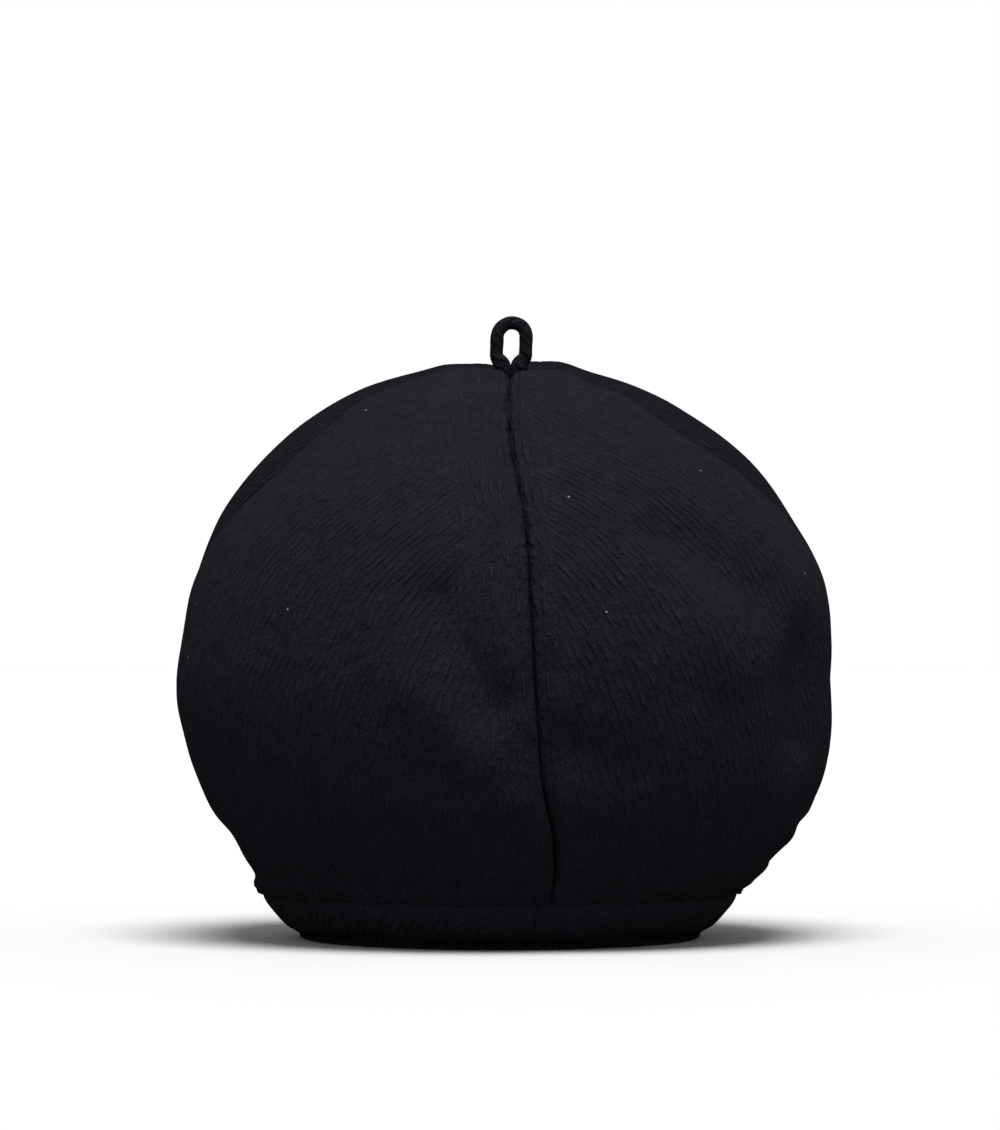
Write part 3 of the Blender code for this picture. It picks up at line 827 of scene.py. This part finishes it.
class CAP_OT_band(bpy.types.Operator):
    """Sew the band and close it at the back"""

    bl_idname = "cap.band"
    bl_label = "Band"
    columns: IntProperty(name="Columns", description="Divisions round the band", default=480, min=40)
    rows: IntProperty(name="Rows", description="Divisions up the band", default=26, min=6)

    def execute(self, context):
        band = context.scene.cap_band
        crown = context.scene.cap_crown
        end_gap = math.degrees(band.seam_gap / band.width)
        sides = (band.width, band.width, band.depth, band.depth)

        def surface(across, up):
            # The columns stand closer together near the closing seam
            crowded = across - BAND_CROWDING * np.sin(2 * math.pi * across) / (2 * math.pi)
            azimuth = math.degrees(band.seam_azimuth) + end_gap + (360.0 - 2 * end_gap) * crowded
            height = band.hem_drop + up * (band.height - band.hem_drop)
            turn = np.radians(azimuth)
            round_band = turn * (band.width + band.depth) / 4
            to_seam = np.minimum(crowded, 1 - crowded) * math.pi * (band.width + band.depth) / 2
            # Ripples are taller than they are wide
            ring = np.stack([np.cos(turn) * RIPPLE_RING, np.sin(turn) * RIPPLE_RING, height * 0.6], axis=-1)
            uneven = band.slack * ripple(ring, band.slack_size, BAND_SEED) * np.sin(math.pi * up)
            flare = band_flare(band, height) + uneven
            flare -= band.seam_dip * np.exp(-((to_seam / band.seam_dip_width) ** 2))
            flare -= band.top_dip * np.exp(-(((band.height - height) / band.top_dip_height) ** 2))
            x, y = around(azimuth, *(side / 2 + flare for side in sides))
            places = np.stack([x + CENTRE_X, y + CENTRE_Y, height + band_lift(band, azimuth)], axis=-1)
            return places, {"weave": np.stack([round_band, height], axis=-1)}

        mesh = formed_grid("band_cloth", self.columns, self.rows, surface)
        # Cut on the bias. Its colour is painted 1.35 times lighter, painted light against the shade under the
        # crown's rolled edge
        look = context.scene.cap_wool
        cloth = black_wool_twill(look, "black_wool_twill_band", math.radians(45), depth=1.35)
        piece = add_piece("band_cloth", mesh, cloth, "band")
        give_wall(piece, band.wall)
        round_edges(piece, crown.wall / 3)
        return {"FINISHED"}


class CAP_OT_peak(bpy.types.Operator):
    """Cover the peak and set it under the front of the band"""

    bl_idname = "cap.peak"
    bl_label = "Peak"
    columns: IntProperty(name="Columns", description="Divisions across the peak", default=40, min=8)
    rows: IntProperty(name="Rows", description="Divisions from band to edge", default=10, min=4)

    def execute(self, context):
        band = context.scene.cap_band
        peak = context.scene.cap_peak
        inner = tuple(side / 2 - band.wall for side in (band.width, band.width, band.depth, band.depth))
        seat = peak.thickness + 2 * CLEARANCE
        half_angle = math.degrees(peak.half_angle)

        def surface(across, out):
            side = 2 * across - 1
            azimuth = 180.0 + half_angle * side
            x, y = around(azimuth, *inner)
            outline = (1 - np.abs(side) ** PEAK_POWER) ** PEAK_ROUNDNESS
            reach = band.wall + peak.end + (peak.reach - peak.end) * outline
            heading = np.radians(180.0 + half_angle * side * peak.sweep)
            x = x + np.sin(heading) * reach * out
            y = y - np.cos(heading) * reach * out
            edge_height = peak.arch * (1 - side * side) + peak.edge_rise
            z = (band_lift(band, azimuth) - seat) * (1 - out) + edge_height * out
            places = np.stack([x + CENTRE_X, y + CENTRE_Y, z], axis=-1)
            return places, {"weave": places[:, :2]}

        mesh = formed_grid("peak_cloth", self.columns, self.rows, surface)
        cloth = black_wool_twill(context.scene.cap_wool, "black_wool_twill_peak", 0.0)
        piece = add_piece("peak_cloth", mesh, cloth, "peak")
        give_wall(piece, peak.thickness)
        smooth = piece.modifiers.new("soft_edge", "SUBSURF")
        smooth.levels = smooth.render_levels = 2
        return {"FINISHED"}


class CAP_OT_top_loop(bpy.types.Operator):
    """Roll the cord and bend it into the loop on top"""

    bl_idname = "cap.top_loop"
    bl_label = "Top loop"
    rows: IntProperty(name="Rows", description="Divisions along the cord", default=150, min=20)
    columns: IntProperty(name="Columns", description="Divisions round the cord", default=28, min=8)

    def path(self, loop, up):
        """The cord's middle line, from one root over the top to the other.

        It gives two coordinates, how far along the cord each point is, and the cord's radius there.
        """
        closed = loop.foot / 2 - loop.foot_press
        wide = (loop.width - loop.cord) / 2
        shoulder = loop.height - loop.cord / 2 - wide
        leg = shoulder + loop.root
        arc = math.pi * wide
        total = 2 * leg + arc
        along = up * total
        mirrored = np.where(along > total / 2, total - along, along)
        climb = np.minimum(mirrored, leg) - loop.root
        opened = eased(np.clip(loop.spread * (climb - loop.closed) / (shoulder - loop.closed), 0.0, 1.0))
        turn = np.clip((mirrored - leg) / wide, 0.0, math.pi / 2)
        x = (closed + (wide - closed) * opened) * np.cos(turn)
        z = climb + wide * np.sin(turn)
        x = np.where(along > total / 2, -x, x)
        radius = (loop.foot + (loop.cord - loop.foot) * opened) / 2
        return x + loop.lean * np.maximum(z, 0.0) / loop.height, z, along, radius

    def execute(self, context):
        scene = context.scene
        loop, crown = scene.cap_loop, scene.cap_crown
        neck = np.array([CENTRE_X + crown.lean, CENTRE_Y, crown.height - crown.neck_dip])

        def surface(across, up):
            x, z, along, radius = self.path(loop, up)
            step = 0.001
            ahead_x, ahead_z, _, _ = self.path(loop, np.minimum(up + step, 1.0))
            behind_x, behind_z, _, _ = self.path(loop, np.maximum(up - step, 0.0))
            heading = np.stack([ahead_x - behind_x, ahead_z - behind_z], axis=-1)
            heading /= np.linalg.norm(heading, axis=-1, keepdims=True)
            turn = 2 * math.pi * across
            # Bumps of 4 mm, which differ between the inside and the outside of the loop
            skin = np.stack([x, np.cos(turn) * 3 * MM, z], axis=-1)
            radius = radius * (1 + loop.unevenness * ripple(skin, 4 * MM, CORD_SEED))
            # The cord's own seam runs along the inside of the loop
            radius -= loop.seam_depth * np.exp(-(((turn - math.pi) / CORD_SEAM_TURN) ** 2))
            sideways = radius * np.cos(turn)
            places = np.stack([
                x + heading[:, 1] * sideways,
                -radius * loop.flatness * np.sin(turn),
                z - heading[:, 0] * sideways,
            ], axis=-1)
            return places + neck, {"weave": np.stack([turn * loop.cord / 2, along], axis=-1)}

        mesh = formed_grid("top_loop_cord", self.columns, self.rows, surface)
        cord = bmesh.new()
        cord.from_mesh(mesh)
        bmesh.ops.remove_doubles(cord, verts=cord.verts, dist=0.01 * MM)
        bmesh.ops.holes_fill(cord, edges=[edge for edge in cord.edges if edge.is_boundary], sides=0)
        bmesh.ops.recalc_face_normals(cord, faces=cord.faces)
        cord.to_mesh(mesh)
        cord.free()
        mesh.shade_smooth()
        cloth = black_wool_twill(scene.cap_wool, "black_wool_twill_loop", math.radians(45))
        add_piece("top_loop_cord", mesh, cloth, "top_loop")
        return {"FINISHED"}


class CAP_OT_stage(bpy.types.Operator):
    """Lay the floor, hang the lights and set the camera"""

    bl_idname = "cap.stage"
    bl_label = "Stage"

    def execute(self, context):
        scene = context.scene
        look = scene.cap_stage
        board = bmesh.new()
        bmesh.ops.create_grid(board, x_segments=1, y_segments=1, size=look.floor_size)
        mesh = bpy.data.meshes.new("floor")
        board.to_mesh(mesh)
        board.free()
        floor = bpy.data.objects.new("floor", mesh)
        mesh.materials.append(pale_board(look))
        scene.collection.objects.link(floor)

        world = bpy.data.worlds.new("white_room")
        world.use_nodes = True
        world.node_tree.nodes["Background"].inputs["Color"].default_value = (1.0, 1.0, 1.0, 1.0)
        world.node_tree.nodes["Background"].inputs["Strength"].default_value = look.sky
        scene.world = world

        softbox = bpy.data.lights.new("overhead_softbox", "SUN")
        softbox.energy = look.key
        softbox.angle = look.key_spread
        hung = bpy.data.objects.new("overhead_softbox", softbox)
        hung.rotation_euler = Vector(look.key_heading).to_track_quat("-Z", "Y").to_euler()
        scene.collection.objects.link(hung)

        camera = bpy.data.cameras.new("camera")
        camera.sensor_width = 36.0
        camera.lens = camera.sensor_width * look.view_distance / look.frame_height
        eye = bpy.data.objects.new("camera", camera)
        eye.location = (CENTRE_X, -look.view_distance, look.eye_height)
        target = Vector((CENTRE_X, 0.0, look.look_height))
        eye.rotation_euler = (target - eye.location).to_track_quat("-Z", "Y").to_euler()
        scene.collection.objects.link(eye)
        scene.camera = eye
        scene.view_settings.view_transform = "Standard"
        return {"FINISHED"}


class CAP_PT_sidebar(bpy.types.Panel):
    """The cap's pieces and sizes"""

    bl_idname = "CAP_PT_sidebar"
    bl_label = "Baker Boy Cap"
    bl_space_type = "VIEW_3D"
    bl_region_type = "UI"
    bl_category = "Baker Boy Cap"

    def draw(self, context):
        """Lists the operators and then the sizes, group by group."""
        for maker in OPERATORS:
            self.layout.operator(maker.bl_idname)
        for name in SETTINGS:
            box = self.layout.box()
            box.label(text=name.replace("cap_", "").capitalize())
            group = getattr(context.scene, name)
            for key in group.bl_rna.properties.keys():
                if key not in ("rna_type", "name"):
                    box.prop(group, key)


SETTINGS = {
    "cap_band": BandSizes,
    "cap_crown": CrownSizes,
    "cap_loop": LoopSizes,
    "cap_peak": PeakSizes,
    "cap_wool": WoolLook,
    "cap_stage": StageSizes,
}
OPERATORS = (CAP_OT_stage, CAP_OT_crown, CAP_OT_band, CAP_OT_peak, CAP_OT_top_loop)


def register():
    for group in SETTINGS.values():
        bpy.utils.register_class(group)
    for maker in (*OPERATORS, CAP_PT_sidebar):
        bpy.utils.register_class(maker)
    for name, group in SETTINGS.items():
        setattr(bpy.types.Scene, name, PointerProperty(type=group))


def unregister():
    for name in SETTINGS:
        delattr(bpy.types.Scene, name)
    for maker in (CAP_PT_sidebar, *reversed(OPERATORS)):
        bpy.utils.unregister_class(maker)
    for group in reversed(SETTINGS.values()):
        bpy.utils.unregister_class(group)


def main():
    register()
    bpy.ops.cap.stage()
    bpy.ops.cap.crown()
    bpy.ops.cap.band()
    bpy.ops.cap.peak()
    bpy.ops.cap.top_loop()


if __name__ == "__main__":
    main()
